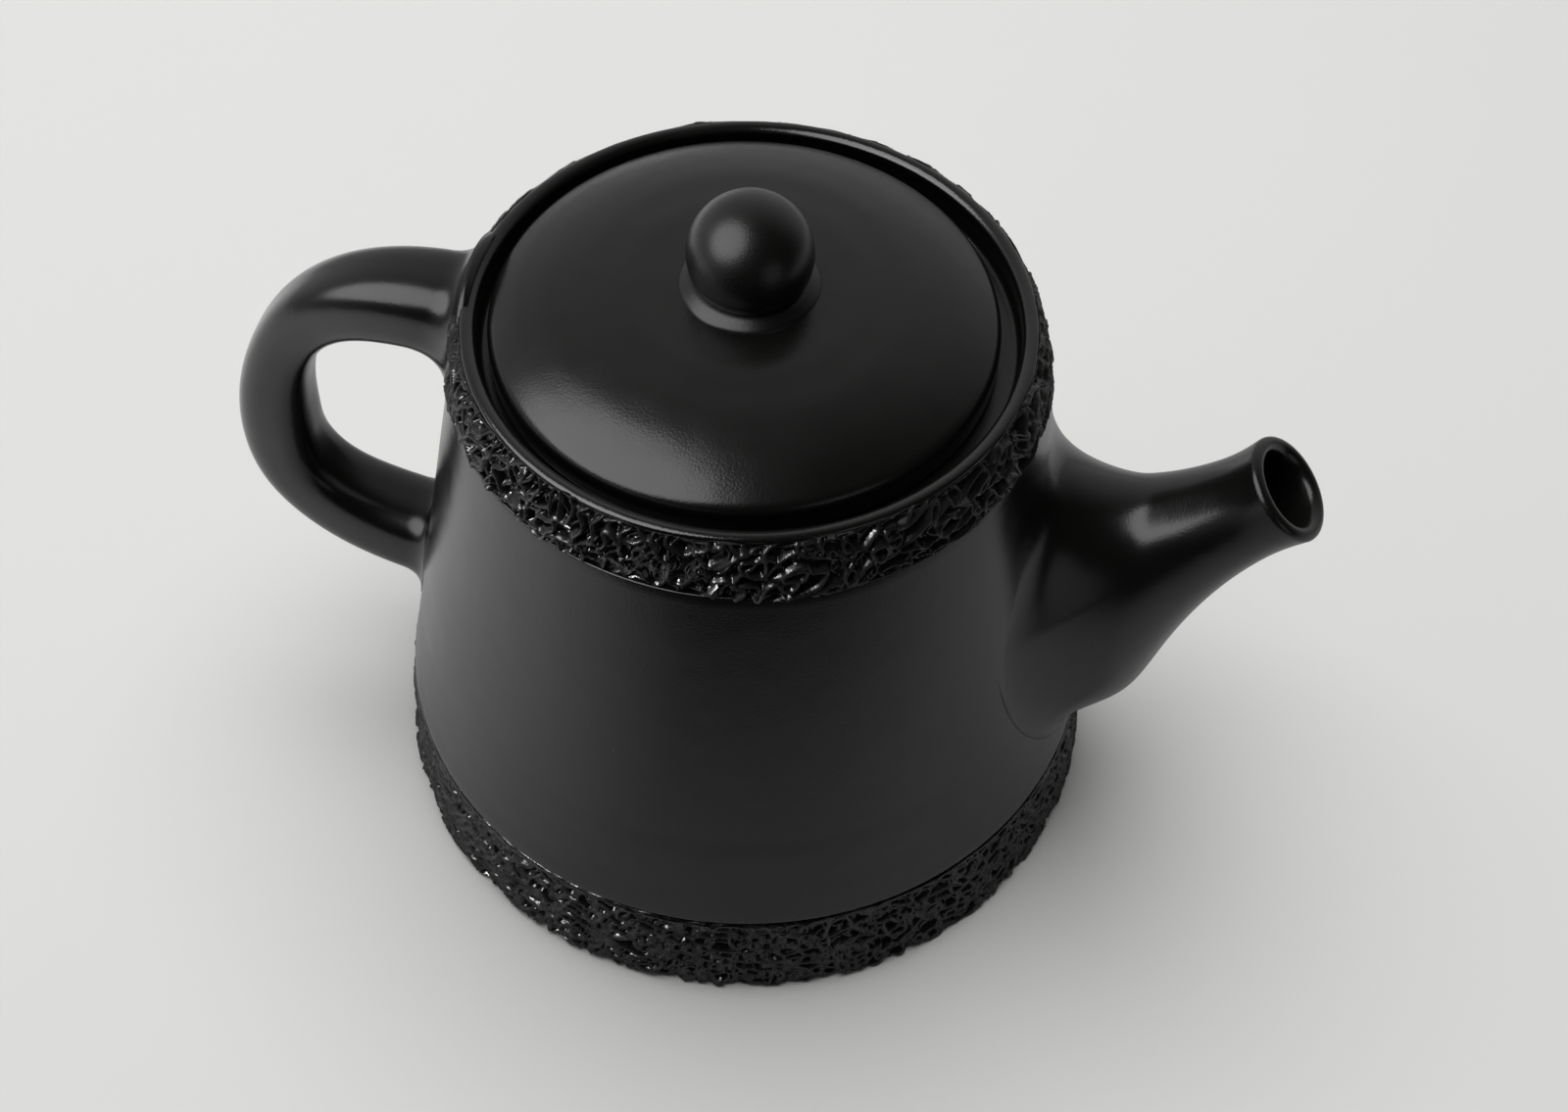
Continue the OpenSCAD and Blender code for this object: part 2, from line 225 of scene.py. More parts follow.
def satinGlaze(name, s):
    # Satin black glaze on stoneware, dipped: a broad soft sheen from its tiny crystals
    # (roughness about a quarter), a faint orange peel, and a few burst pinholes.
    material, tree = newMaterial(name)
    place = addNode(tree, "ShaderNodeTexCoord").outputs["Object"]
    cloud = addNode(tree, "ShaderNodeTexNoise",
                    {"Vector": place, "Scale": 1 / (s["cloudSize"] * mm), "Detail": 3.0})
    speck = addNode(tree, "ShaderNodeTexNoise",
                    {"Vector": place, "Scale": 1 / (s["peelSize"] * mm), "Detail": 2.0})
    swell = addNode(tree, "ShaderNodeTexNoise",
                    {"Vector": place, "Scale": 1 / (s["waveSize"] * mm), "Detail": 1.0})
    pits = addNode(tree, "ShaderNodeTexVoronoi",
                   {"Vector": place, "Scale": 1 / (s["pinholeSpacing"] * mm)})
    # distance is a share of the spacing, so the pit's edge is radius / spacing
    edge = s["pinholeRadius"] / s["pinholeSpacing"]
    pitShape = addNode(tree, "ShaderNodeMapRange",
                       {"Value": pits.outputs["Distance"], "From Min": edge * 0.5,
                        "From Max": edge, "To Min": 1.0, "To Max": 0.0})
    # a colour Mix node's sockets are 0 for the factor, 6 and 7 for the colours, 2 for the result
    colour = addNode(tree, "ShaderNodeMix", {0: cloud.outputs["Fac"], 6: hexColour(s["colour"]),
                                             7: hexColour(s["dust"])}, data_type="RGBA")
    pitted = addNode(tree, "ShaderNodeMix", {0: pitShape.outputs[0], 6: colour.outputs[2],
                                             7: hexColour(s["pit"])}, data_type="RGBA")
    rough = addNode(tree, "ShaderNodeMapRange",
                    {"Value": cloud.outputs["Fac"], "From Min": 0.3, "From Max": 0.7,
                     "To Min": s["roughness"] - s["roughnessSpread"],
                     "To Max": s["roughness"] + s["roughnessSpread"]})
    peel = addNode(tree, "ShaderNodeBump", {"Height": speck.outputs["Fac"],
                                            "Distance": s["peelHeight"] * mm})
    waves = addNode(tree, "ShaderNodeBump", {"Height": swell.outputs["Fac"],
                                             "Distance": s["waveHeight"] * mm,
                                             "Normal": peel.outputs["Normal"]})
    pit = addNode(tree, "ShaderNodeBump", {"Height": pitShape.outputs[0],
                                           "Distance": s["pinholeDepth"] * mm,
                                           "Normal": waves.outputs["Normal"]}, invert=True)
    surface = addNode(tree, "ShaderNodeBsdfPrincipled",
                      {"Base Color": pitted.outputs[2], "Roughness": rough.outputs[0],
                       "IOR": s["ior"], "Normal": pit.outputs["Normal"]})
    addNode(tree, "ShaderNodeOutputMaterial", {"Surface": surface.outputs[0]})
    return material


# colour is the pits' colour, darker than the satin glaze as painted shade; ridge is the crests'
# colour, lighter as painted sheen
pooled = dict(colour="#050505", ridge="#181817", roughness=0.12, ridgeRoughness=0.34, ior=1.6,
              grainSize=0.8, grainHeight=0.05)


def pooledGlaze(name, s):
    # The same glaze run thick over rough lava texture: glossy where it pools in the pits,
    # thinner and more satin on the crests. Its colour is darkened in the pits as painted shade
    # and lightened on the crests as painted sheen.
    material, tree = newMaterial(name)
    place = addNode(tree, "ShaderNodeTexCoord").outputs["Object"]
    grain = addNode(tree, "ShaderNodeTexNoise",
                    {"Vector": place, "Scale": 1 / (s["grainSize"] * mm), "Detail": 2.0})
    crest = addNode(tree, "ShaderNodeAttribute", attribute_name="crest")
    # crest picks between the dark pit colour (painted shade) and the lighter ridge colour (painted
    # sheen)
    colour = addNode(tree, "ShaderNodeMix", {0: crest.outputs["Fac"], 6: hexColour(s["colour"]),
                                             7: hexColour(s["ridge"])}, data_type="RGBA")
    rough = addNode(tree, "ShaderNodeMapRange",
                    {"Value": crest.outputs["Fac"], "To Min": s["roughness"],
                     "To Max": s["ridgeRoughness"]})
    bump = addNode(tree, "ShaderNodeBump", {"Height": grain.outputs["Fac"],
                                            "Distance": s["grainHeight"] * mm})
    surface = addNode(tree, "ShaderNodeBsdfPrincipled",
                      {"Base Color": colour.outputs[2], "Roughness": rough.outputs[0],
                       "IOR": s["ior"], "Normal": bump.outputs["Normal"]})
    addNode(tree, "ShaderNodeOutputMaterial", {"Surface": surface.outputs[0]})
    return material


bodyGlaze = satinGlaze("satin_black_glaze", satin)
lidGlaze = satinGlaze("satin_black_glaze_lid", dict(satin, pinholeSpacing=13.0))
knobGlaze = satinGlaze("satin_black_glaze_knob", dict(satin, roughness=0.33, pinholeSpacing=7.0,
                                                      pinholeRadius=0.22))
lipGlaze = satinGlaze("thick_black_glaze_lip", dict(satin, roughness=0.15, ior=1.62,
                                                    pinholeSpacing=20.0))
bandGlaze = pooledGlaze("pooled_black_glaze", pooled)
print("materials made")


# pot body
def makePotBody(p):
    outFoot = p["footRadius"] - p["lowBandThick"]
    bandBack = wallFootRadius - p["lowBandThick"]
    lipIn = lipRadius - p["lipThick"]
    seatZ = potTop - p["seatDrop"]
    seatIn = lipIn - p["seatWidth"]
    underSeat = seatZ - p["seatThick"]
    run = (wallRadius(underSeat) - p["wallThick"] - seatIn) / (1 - coneSlope)
    insideR = wallFootRadius - p["wallThick"]
    floorZ = p["footHollow"] + p["floorThick"]
    lipR, lipZ = lipRadius, potTop
    # underside and foot ring, bed of the lower band, wall, bed of the upper band, lip, gallery,
    # inner wall and floor
    corners = [
        (3.0, p["footHollow"], 0), (outFoot - p["footRing"] - 1, p["footHollow"], 1.0),
        (outFoot - p["footRing"], 0, 0.7), (outFoot - 1, 0, 0.7), (outFoot, 1.0, 0.5),
        (bandBack, p["lowBandTop"] - 0.9, 0.3), (wallFootRadius - 0.2, p["lowBandTop"] - 0.2, 0.7),
        (wallRadius(upBandLow), upBandLow, 0.3),
        (wallRadius(upBandLow) - p["bandBed"], upBandLow + 0.1, 0.2),
        (lipR - 1.8, upBandHigh - 3.0, 1.0), (lipR, lipMid - 1.2, 0.6),
        (lipR - 0.02, lipZ - 0.45, 0.8), (lipR - 0.9, lipZ - 0.02, 0.7),
        (lipIn + 1.0, lipZ - 0.25, 0.7), (lipIn + 0.15, lipZ - 0.9, 0.8),
        (lipIn, lipZ - 3.0, 1.0), (lipIn, seatZ, 1.2), (seatIn, seatZ - 0.1, 0.8),
        (seatIn, underSeat, 1.0), (seatIn + run, underSeat - run, 3.0),
        (insideR, p["lowBandTop"], 3.0), (insideR, floorZ, p["floorFillet"]), (3.0, floorZ, 0)]
    grid = revolve(roundPath(corners, p["rowStep"]), p["columns"])
    # throwing rings: the radius gains depth x wander(z, angle), slow round the pot, and fades
    # out towards the bands
    x, y, z = grid[..., 0], grid[..., 1], grid[..., 2]
    radius = np.hypot(x, y)
    between = np.clip((z - p["lowBandTop"] - 2) / 4, 0, 1) * np.clip((upBandLow - 1 - z) / 4, 0, 1)
    rings = p["throwingDepth"] * wave(3, 6, z / p["throwingPitch"] * 2.2, x / 60, y / 60)
    sway = p["wobble"] * wave(9, 5, x / 40, y / 40, z / 40)
    lift = between * (rings + sway) * (radius > insideR + 0.5)
    grid[..., 0] += x / radius * lift
    grid[..., 1] += y / radius * lift
    return gridObject("pot_body", grid, (0, 0, p["footHollow"]), (0, 0, floorZ))


strainer = dict(diameter=6.0, pitch=10.0, height=61.5, count=7, reach=14.0, sides=24)


def drillStrainer(piece, s):
    # Holes through the wall behind the spout: six on a ring of radius pitch and one in the
    # middle, each a round cutter (wall +- reach, y + R cos q, z + R sin q) taken away.
    cutters = []
    middle, radius, reach = wallRadius(s["height"]), s["diameter"] / 2, s["reach"]
    q = np.arange(s["sides"]) * (2 * math.pi / s["sides"])
    ends = np.array([-reach, reach])[:, None]
    for i in range(s["count"]):
        turn = math.radians(60 * i)
        off = 0 if i == s["count"] - 1 else s["pitch"]
        y, z = -off * math.sin(turn), s["height"] + off * math.cos(turn)
        ring = np.stack([middle + ends + 0 * q, y + radius * np.cos(q) + 0 * ends,
                         z + radius * np.sin(q) + 0 * ends], -1)
        cutters.append(gridObject(f"cutter{i}", ring, (middle - reach, y, z),
                                  (middle + reach, y, z)))
    for cutter in cutters:
        cut = piece.modifiers.new("strainer", "BOOLEAN")
        cut.object, cut.operation, cut.solver = cutter, "DIFFERENCE", "EXACT"
    graph = bpy.context.evaluated_depsgraph_get()
    drilled = bpy.data.meshes.new_from_object(piece.evaluated_get(graph))
    piece.modifiers.clear()
    piece.data = drilled
    for cutter in cutters:
        bpy.data.objects.remove(cutter)


potBody = makePotBody(pot)
drillStrainer(potBody, strainer)
settle(potBody, "pot", "glaze", bodyGlaze, "vessel")


def glazeLip(piece, material, lowest):
    # faces whose middle is above lowest take the second glaze
    centres = np.empty(len(piece.data.polygons) * 3, np.float32)
    piece.data.polygons.foreach_get("center", centres)
    high = (centres.reshape(-1, 3)[:, 2] > lowest * mm).astype(np.int32)
    piece.data.materials.append(material)
    piece.data.polygons.foreach_set("material_index", high)
    piece.data.update()


glazeLip(potBody, lipGlaze, upBandHigh - 2.0)


# lava bands
lowBand = dict(seed=11, spacing=3.3, squash=0.75, depth=1.9, ridge=0.42, bowl=1.15, layers=3,
               edgeWave=0.35, edgePitch=2.5, fade=1.0, columns=1200, rowStep=0.34)
upBand = dict(seed=23, spacing=4.4, squash=0.62, depth=2.3, ridge=0.46, bowl=1.5, layers=3,
              edgeWave=0.4, edgePitch=2.5, fade=1.0, columns=1480, rowStep=0.26)


def ridgeLines(x, y, up, b):
    # Threads of clay along the zero lines of smooth fields: a field's distance from its zero
    # line is |f| / |slope of f|, and the crest is the highest exp(-(distance / ridge)^2).
    # The bowls between fall away as a rounded step of the distance to the nearest thread.
    crest, near = 0.0, 99.0
    step = 0.05
    angle = np.arctan2(y, x)
    radius = np.hypot(x, y).mean()
    for layer in range(b["layers"]):
        seed = b["seed"] + 10 * layer
        scale = b["spacing"] * (1.0, 0.8, 1.25)[layer % 3] / 2.2

        def field(along, height):
            a = along / radius
            return wave(seed, 16, radius * np.cos(a) / scale, radius * np.sin(a) / scale,
                        height / (scale * b["squash"]))
        along = angle * radius
        f = field(along, up)
        slopeA = (field(along + step, up) - f) / step
        slopeU = (field(along, up + step) - f) / step
        distance = np.abs(f) / (np.hypot(slopeA, slopeU) + 0.04)
        # each thread swells, sinks and breaks off along its way
        height = np.clip(0.75 + 0.55 * wave(seed + 5, 8, x / 4.0, y / 4.0, up / 4.0), 0.0, 1.1)
        crest = np.maximum(crest, height * np.exp(-(distance / b["ridge"]) ** 2))
        near = np.minimum(near, distance + 1.2 * (1 - np.clip(height, 0, 1)))
    shoulder = np.clip(1 - near / b["bowl"], 0, 1)
    shoulder = shoulder * shoulder * (3 - 2 * shoulder)
    return np.clip(0.5 * shoulder + 0.5 * crest, 0, 1.1)


def makeBand(name, b, profile):
    # Revolved profile whose outer face is pushed in by depth x (1 - crest) along the radius,
    # with crest from ridgeLines.
    grid = revolve(profile[:, :2], b["columns"])
    rough = profile[:, 2][:, None]
    radius = profile[:, 0].max()
    arc = np.concatenate([[0], np.cumsum(np.hypot(*np.diff(profile[:, :2], axis=0).T))])
    u = np.arange(b["columns"]) * (2 * math.pi / b["columns"])
    x, y = radius * np.cos(u)[None, :] + 0 * rough, radius * np.sin(u)[None, :] + 0 * rough
    crest = ridgeLines(x, y, arc[:, None] + 0 * x, b)
    push = 1 - b["depth"] * (1 - crest) * rough / profile[:, 0][:, None]
    grid[..., :2] *= push[..., None]
    # the edges wander up and down by edgeWave
    middle = (grid[..., 2].min() + grid[..., 2].max()) / 2
    toEdge = np.abs(grid[..., 2] - middle) / (grid[..., 2].max() - middle)
    grid[..., 2] += b["edgeWave"] * toEdge ** 3 * wave(b["seed"] + 7, 9, x / b["edgePitch"],
                                                                y / b["edgePitch"])
    piece = gridObject(name, grid, ringed=True)
    attribute = piece.data.attributes.new("crest", "FLOAT", "POINT")
    attribute.data.foreach_set("value", crest.astype(np.float32).ravel())
    return piece


def withRough(path, lowZ, highZ, fade, minR):
    # third column: 1 on the outer face, fading to 0 within fade of its ends
    z = path[:, 1]
    rough = np.clip((z - lowZ) / fade, 0, 1) * np.clip((highZ - z) / fade, 0, 1)
    rough = rough * (path[:, 0] > minR)
    return np.column_stack([path, rough])


def makeLowBand(p, b):
    low, high = p["lowBandLift"], lowBandHigh
    back = wallFootRadius - p["lowBandThick"] + 0.2

    def cone(z):
        # the band's outer face, a draft steeper than the wall
        return p["footRadius"] - p["lowBandDraft"] * z / p["lowBandTop"] + 0.15
    corners = [(back, low + 0.1, 0), (cone(low) - 0.3, low, 0.5),
               (cone(high - 0.9), high - 0.9, 0.5), (cone(high) - 0.8, high, 0.4),
               (back, high - 0.1, 0)]
    path = roundPath(corners, b["rowStep"])
    return makeBand("lower_lava_band", b, withRough(path, low - 0.6, high - 0.5, b["fade"],
                                                    back + 0.6))


def makeUpBand(p, b):
    low, high = upBandLow, upBandHigh
    out = p["upBandProud"]
    corners = [(wallRadius(low) - 1.2, low + 0.1, 0), (wallRadius(low) + out * 0.7, low, 0.6),
               (wallRadius(low + 1) + out, low + 1.2, 0.8),
               (wallRadius(high - 2) + out, high - 2.4, 1.5), (lipRadius + 0.6, high, 0.8),
               (lipRadius - 0.1, high, 0.2), (lipRadius - 0.3, high - 1.5, 0)]
    path = roundPath(corners, b["rowStep"])
    return makeBand("upper_lava_band", b, withRough(path, low - 0.6, high + 0.9, b["fade"],
                                                    lipRadius + 0.3))


lowerBand = makeLowBand(pot, lowBand)
settle(lowerBand, "pot", "band_glaze", bandGlaze, "lower_band")
upperBand = makeUpBand(pot, upBand)
settle(upperBand, "pot", "band_glaze", bandGlaze, "upper_band")


# parts that grow out of the wall
def curve(points, t):
    # Cubic curve: (1-t)^3 a + 3t(1-t)^2 b + 3t^2(1-t) c + t^3 d.
    a, b, c, d = (np.array(q, float) for q in points)
    t = np.asarray(t)[..., None]
    return (1 - t) ** 3 * a + 3 * t * (1 - t) ** 2 * b + 3 * t ** 2 * (1 - t) * c + t ** 3 * d


def curveDirection(points, t):
    # Unit tangent of the same curve: (1-t)^2 (b-a) + 2t(1-t) (c-b) + t^2 (d-c), normalised.
    a, b, c, d = (np.array(q, float) for q in points)
    t = np.asarray(t)[..., None]
    way = (1 - t) ** 2 * (b - a) + 2 * t * (1 - t) * (c - b) + t ** 2 * (d - c)
    return way / np.linalg.norm(way, axis=-1, keepdims=True)


def ovalPoint(points, t, q, halfTall, halfWide, power=1.0):
    # Point at angle q of the oval across the curve at t: c + tall S n + wide C y, with n the
    # curve's normal in the pot's middle plane and S, C = sin q and cos q to a power, signs kept.
    c, d = curve(points, t), curveDirection(points, t)
    tall = halfTall * np.sign(np.sin(q)) * np.abs(np.sin(q)) ** power
    wide = halfWide * np.sign(np.cos(q)) * np.abs(np.cos(q)) ** power
    return np.stack([c[..., 0] - tall * d[..., 1], wide, c[..., 1] + tall * d[..., 0]], -1)


def offWall(p):
    # how far a point stands out from the wall: its radius less the wall's at its height
    return np.hypot(p[..., 0], p[..., 1]) - wallRadius(p[..., 2])


def reachWall(shape, q, distance, span):
    # The t at which each side q of a shape stands a distance off the wall, by halving.
    lo, hi = (np.full(q.shape, float(end)) for end in span)
    for _ in range(26):
        mid = (lo + hi) / 2
        inside = offWall(shape(mid, q)) < distance
        lo, hi = np.where(inside, mid, lo), np.where(inside, hi, mid)
    return (lo + hi) / 2


def onWall(point, centre, distance, sink):
    # Walks from a point on the wall straight away from a centre, distance along the wall,
    # which is unrolled as (radius x angle, height).
    angle = np.arctan2(point[..., 1], point[..., 0])
    base = math.atan2(0, centre[0])
    turned = (angle - base + math.pi) % (2 * math.pi) - math.pi
    radius = wallRadius(point[..., 2])
    along, up = turned * radius, point[..., 2] - centre[1]
    size = np.hypot(along, up)
    angle = angle + distance * along / size / radius
    z = point[..., 2] + distance * up / size
    r = wallRadius(z) - sink
    return np.stack([r * np.cos(angle), r * np.sin(angle), z], -1)


def rootRows(shape, q, centre, distance, run, span, steps, sink=0.12, skirtSink=2.0):
    # Smoothed clay at a joint: rows (1-s)^2 W + 2s(1-s) J + s^2 A, where J is the joint line,
    # W lies sink under the wall, distance away, and A on the part where it stands run off the
    # wall. The skirt closes the piece inside the wall.
    tPart = reachWall(shape, q, run, span)
    joint = shape(reachWall(shape, q, 0.0, span), q)
    wall = onWall(joint, centre, distance, sink)
    part = shape(tPart, q)
    s = (np.arange(steps) / steps)[:, None, None]
    rows = (1 - s) ** 2 * wall + 2 * s * (1 - s) * joint + s ** 2 * part
    return rows, tPart, onWall(joint, centre, distance, skirtSink)


# spout
spout = dict(height=61.5, out=38.0, up=37.0, rise=38.0, mouthRise=48.0, neck=9.8, rootTall=31.5,
             rootWide=23.0, taper=2.3, flare=1.0, thick=3.2, blendTop=15.0, blendLow=3.0,
             runTop=16.0, runLow=8.0, aboveBend=0.8, lipStart=0.985, span=(-0.55, 0.98),
             easing=160, heldRows=24, columns=160, rows=150, blendRows=26, lipRows=12,
             channelRows=60)


def makeSpout(p):
    foot = np.array([wallRadius(p["height"]), p["height"]])
    end = foot + [p["out"], p["up"]]
    pull = np.linalg.norm(end - foot) / 3
    rise, top = math.radians(p["rise"]), math.radians(p["mouthRise"])
    path = [foot, foot + pull * np.array([math.cos(rise), math.sin(rise)]),
            end - pull * np.array([math.cos(top), math.sin(top)]), end]

    def halfSize(root, t):
        # neck + (root - neck)(1 - t)^taper, opening again by flare over the last fifth
        return (p["neck"] + (root - p["neck"]) * np.clip(1 - t, 0, 1) ** p["taper"]
                + p["flare"] * np.clip((t - 0.8) / 0.2, 0, 1) ** 2)

    def outer(t, q, off=0.0):
        return ovalPoint(path, t, q, halfSize(p["rootTall"], t) + off,
                         halfSize(p["rootWide"], t) + off)

    q = np.arange(p["columns"]) * (2 * math.pi / p["columns"])
    # the clay at the root is widest on top and narrowest below
    above = ((1 + np.sin(q)) / 2) ** p["aboveBend"]
    rows, tPart, skirt = rootRows(
        outer, q, (1, p["height"]), p["blendLow"] + (p["blendTop"] - p["blendLow"]) * above,
        p["runLow"] + (p["runTop"] - p["runLow"]) * above, p["span"], p["blendRows"])
    s = (np.arange(p["rows"]) / p["rows"])[:, None]
    lipStart = p["lipStart"]
    t = tPart[None, :] + (lipStart - tPart[None, :]) * s
    skin = np.concatenate([rows, outer(t, q[None, :] + 0 * t)])
    # each row moves up to halfway to the mean of its neighbours, the ones by the wall less
    hold = np.clip(np.arange(len(skin)) / p["heldRows"], 0, 1)[1:-1, None, None] ** 2 / 2
    for _ in range(p["easing"]):
        skin[1:-1] += hold * ((skin[:-2] + skin[2:]) / 2 - skin[1:-1])
    # lip: half circle from the outer skin to the channel, thick across, in the mouth's plane
    arc = np.linspace(0, math.pi, p["lipRows"])[:, None]
    half = p["thick"] / 2
    lipT = lipStart + (half * np.sin(arc)) / np.linalg.norm(end - foot)
    lip = outer(lipT + 0 * q, q + 0 * arc, -half + half * np.cos(arc))
    tIn = reachWall(lambda tt, qq: outer(tt, qq, -p["thick"]), q, 0.0, p["span"])
    u = (np.arange(1, p["channelRows"] + 1) / p["channelRows"])[:, None]
    t = lipStart + (tIn[None, :] - lipStart) * u
    inner = outer(t, q[None, :] + 0 * t, -p["thick"])
    innerFoot = outer(tIn - 0.02, q, -p["thick"])
    grid = np.concatenate([skirt[None], skin, lip, inner, innerFoot[None]])
    return gridObject("spout_body", grid[:, ::-1], ringed=True)


spoutPiece = makeSpout(spout)
settle(spoutPiece, "pot", "glaze", bodyGlaze, "spout", "spout_root")


# handle
handle = dict(topDrop=10.6, out=35.0, midHeight=69.7, lowHeight=41.0, thick=7.5, wide=7.9,
              topPull=0.8, topArch=3.8, topBend=0.5, lowPull=0.85, lowLift=0.22, lowBend=0.4,
              swell=1.5, waist=1.6, squareness=0.7, dents=0.3,
              blendWall=4.0, webUnder=5.0, blendRun=5.0, span=(-0.35, 0.9),
              columns=128, rows=130, blendRows=18)


def makeHandle(p):
    # Two ovals carried along cubic curves, one from each root, that meet at the outermost point
    # where both curves run straight down.
    topZ = potTop - p["topDrop"]
    top = np.array([-wallRadius(topZ), topZ])
    low = np.array([-wallRadius(p["lowHeight"]), p["lowHeight"]])
    mid = np.array([-wallRadius(p["midHeight"]) - p["out"], p["midHeight"]])
    topSpan, lowSpan = top - mid, low - mid
    upper = [top, top + [-p["topPull"] * topSpan[0], p["topArch"]],
             mid + [0, p["topBend"] * topSpan[1]], mid]
    lower = [low, low + [-p["lowPull"] * lowSpan[0], -p["lowLift"] * lowSpan[1]],
             mid + [0, p["lowBend"] * lowSpan[1]], mid]

    def arm(path, waist, turn):
        def shape(t, q):
            extra = (p["swell"] * (1 - t) ** 2
                     - waist * np.sin(math.pi * np.clip(t, 0, 1)) ** 2
                     + p["dents"] * (1 - t) * wave(31, 6, 9 * t, np.cos(q) * 1.3, np.sin(q) * 1.3))
            return ovalPoint(path, t, turn * q, p["thick"] + extra, p["wide"] + extra,
                             p["squareness"])
        return shape

    q = np.arange(p["columns"]) * (2 * math.pi / p["columns"])
    upperArm, lowerArm = arm(upper, p["waist"], 1), arm(lower, 0.0, -1)
    # the clay web is wider under the upper arm
    under = p["webUnder"] * (1 + np.sin(q)) / 2
    rowsA, tA, skirtA = rootRows(upperArm, q, (-1, topZ), p["blendWall"] + under,
                                 p["blendRun"] + under, p["span"], p["blendRows"])
    rowsB, tB, skirtB = rootRows(lowerArm, q, (-1, p["lowHeight"]), p["blendWall"],
                                 p["blendRun"], p["span"], p["blendRows"])
    s = (np.arange(p["rows"]) / p["rows"])[:, None]
    t = tA + (1 - tA) * s
    bodyA = upperArm(t, q + 0 * t)
    t = tB + (1 - tB) * s
    bodyB = lowerArm(t, q + 0 * t)
    grid = np.concatenate([skirtA[None], rowsA, bodyA, bodyB[::-1], rowsB[::-1], skirtB[None]])
    return gridObject("handle_body", grid[:, ::-1], skirtA.mean(0), skirtB.mean(0))


handlePiece = makeHandle(handle)
settle(handlePiece, "pot", "glaze", bodyGlaze, "handle", "handle_top_root", "handle_low_root")


# lid
lid = dict(footRise=3.1, edgeHeight=4.2, roll=3.4, drop=8.0, power=4.0, thick=4.6,
           flangeThick=3.4, ringDepth=0.03, ringPitch=3.2, wobble=0.06, rest=(-0.9, -0.15),
           crownRows=90, columns=480)


def makeLid(p):
    # Dome z = top - drop (r / edge)^power, rolled over at the edge by an arc that starts with
    # the dome's own slope. The underside is the dome lowered by thick, then the flange.
    low, high = nodeBox("lid")
    edge, base = high[0], low[2]
    flangeLow = nodeBox("lid_flange")[0][2]
    flangeR = nodeBox("lid_flange")[1][0]
    inner = flangeR - p["flangeThick"]
    slope = math.atan(p["drop"] * p["power"] / edge)
    centre = np.array([edge - p["roll"], base + p["edgeHeight"]])
    start = centre + p["roll"] * np.array([math.sin(slope), math.cos(slope)])
    top = start[1] + p["drop"] * (start[0] / edge) ** p["power"]

    def dome(r):
        return top - p["drop"] * (r / edge) ** p["power"]
    r = np.linspace(2.0, inner - 1.5, 26)
    under = np.column_stack([r, dome(r) - p["thick"]])
    bend = roundPath([(under[-1][0], under[-1][1], 0), (inner, dome(inner) - p["thick"], 2.0),
                      (inner, flangeLow, 1.2), (flangeR, flangeLow, 1.2),
                      (flangeR, base + p["footRise"], 0.8), (edge - 0.8, base, 0.5),
                      (edge, base + 0.9, 0.5),
                      (centre[0] + p["roll"], centre[1], 0)], 1.2)
    arc = np.radians(np.linspace(4, 90 - math.degrees(slope), 16))
    rolled = centre + p["roll"] * np.column_stack([np.cos(arc), np.sin(arc)])
    r = np.linspace(start[0], 2.0, p["crownRows"])[1:]
    crown = np.column_stack([r, dome(r)])
    profile = np.concatenate([under, bend[1:], rolled, crown])
    grid = revolve(profile, p["columns"])
    x, y, z = grid[..., 0], grid[..., 1], grid[..., 2]
    radius = np.hypot(x, y)
    onTop = (np.arange(len(profile)) >= len(under) + len(bend) - 1)[:, None] * 1.0
    rings = p["ringDepth"] * wave(5, 6, radius / p["ringPitch"] * 2.5, x / 50, y / 50)
    sway = p["wobble"] * wave(8, 5, x / 25, y / 25)
    grid[..., 2] += onTop * (rings + sway) * np.clip((edge - 3 - radius) / 4, 0, 1)
    # the lid rests a little to the handle's side in its gallery
    grid = grid + np.array([*p["rest"], 0])
    return gridObject("lid_body", grid, (*p["rest"], dome(0) - p["thick"]), (*p["rest"], dome(0)))


lidPiece = makeLid(lid)
settle(lidPiece, "lid", "lid_glaze", lidGlaze, "lid", "lid_flange")


# knob
knob = dict(seatRadius=9.9, collarFoot=13.2, collarRise=0.7, ballWobble=0.004,
            collarWander=0.25, ballRows=90, ballColumns=180, collarColumns=240)


def makeKnob(p):
    # Ball (R cos a, z0 + R sin a) from the flat where it meets the collar to its top, with its
    # radius a share out of round.
    low, high = nodeBox("knob")
    ballR = high[0]
    ballZ = high[2] - ballR
    start = -math.acos(p["seatRadius"] / ballR)
    a = np.linspace(start, math.radians(89), p["ballRows"])
    ball = np.column_stack([ballR * np.cos(a), ballZ + ballR * np.sin(a)])
    foot = np.column_stack([np.linspace(1, p["seatRadius"], 5)[:-1], np.full(4, ball[0][1])])
    grid = revolve(np.concatenate([foot, ball]), p["ballColumns"])
    x, y, z = grid[..., 0], grid[..., 1], grid[..., 2]
    above = np.clip((z - low[2]) / 3, 0, 1)
    grid[..., :2] *= (1 + p["ballWobble"] * wave(21, 6, x / 6, y / 6, z / 6) * above)[..., None]
    return gridObject("knob_ball", grid, (0, 0, ball[0][1]), (0, 0, high[2]))


